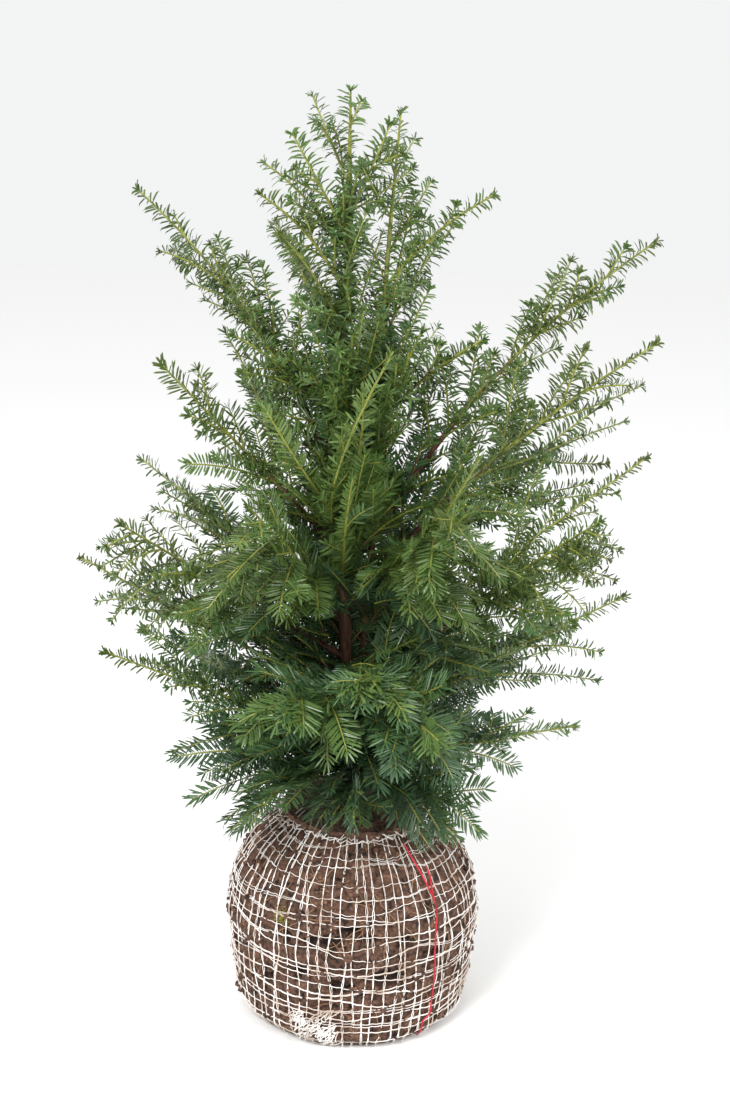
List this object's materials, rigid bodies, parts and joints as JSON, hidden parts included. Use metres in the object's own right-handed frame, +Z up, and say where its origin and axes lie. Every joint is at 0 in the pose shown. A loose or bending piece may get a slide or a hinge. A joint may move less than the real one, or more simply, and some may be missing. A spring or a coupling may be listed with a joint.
{
  "type": "yew shrub with netted root ball",
  "caption": "Young bushy evergreen conifer with upright stems, rising boughs and flat sprays of dark needles, standing on a netted ball of soil.",
  "frame": {"origin": "middle of the flat underside of the root ball", "axes": "+Z up along the trunk, +X to the plant's right as it is looked at from the front, +Y towards its back"},
  "size_m": [0.5902, 0.458, 0.959],
  "materials": {
    "soil": "matt crumbly loam",
    "net": "thin white netting yarn, dusty",
    "marker": "red plastic yarn",
    "bark": "flaking red-brown bark",
    "needles": "dark green needles, waxy above and paler below"
  },
  "bodies": {
    "root": {"root_ball": "soil", "ball_net": "net", "marker_thread": "marker", "trunk": "bark", "second_stem": "bark", "bough_left_high": "bark", "bough_left_shoulder": "bark", "bough_left_back": "bark", "bough_left_front": "bark", "bough_left_wide": "bark", "bough_right_high": "bark", "bough_right_shoulder": "bark", "bough_right_back": "bark", "bough_right_front": "bark", "bough_back_left": "bark", "needles_leader": "needles", "needles_right_leader": "needles", "needles_top_back_left": "needles", "needles_top_front": "needles", "needles_top_left": "needles", "needles_upper_left_1": "needles", "needles_upper_left_2": "needles", "needles_upper_left_3": "needles", "needles_upper_back": "needles", "needles_middle_left": "needles", "needles_front_upright": "needles", "needles_upper_right_1": "needles", "needles_upper_right_2": "needles", "needles_upper_right_3": "needles", "needles_middle_right_1": "needles", "needles_middle_right_2": "needles", "needles_left_high": "needles", "needles_left_shoulder": "needles", "needles_left_back": "needles", "needles_left_front": "needles", "needles_left_wide": "needles", "needles_left_low_front": "needles", "needles_left_low_back": "needles", "needles_right_high": "needles", "needles_right_shoulder": "needles", "needles_right_back": "needles", "needles_right_wide": "needles", "needles_right_front": "needles", "needles_right_low": "needles", "needles_right_low_back": "needles", "needles_front_left": "needles", "needles_front_right": "needles", "needles_front_middle": "needles", "needles_front_foot": "needles", "needles_front_low_left": "needles", "needles_front_low_right": "needles", "needles_left_foot": "needles", "needles_left_foot_front": "needles", "needles_right_foot": "needles", "needles_right_foot_front": "needles", "needles_back_high": "needles", "needles_back_left": "needles", "needles_back_right": "needles", "needles_back_middle": "needles", "needles_back_low": "needles"}
  },
  "joints": []
}
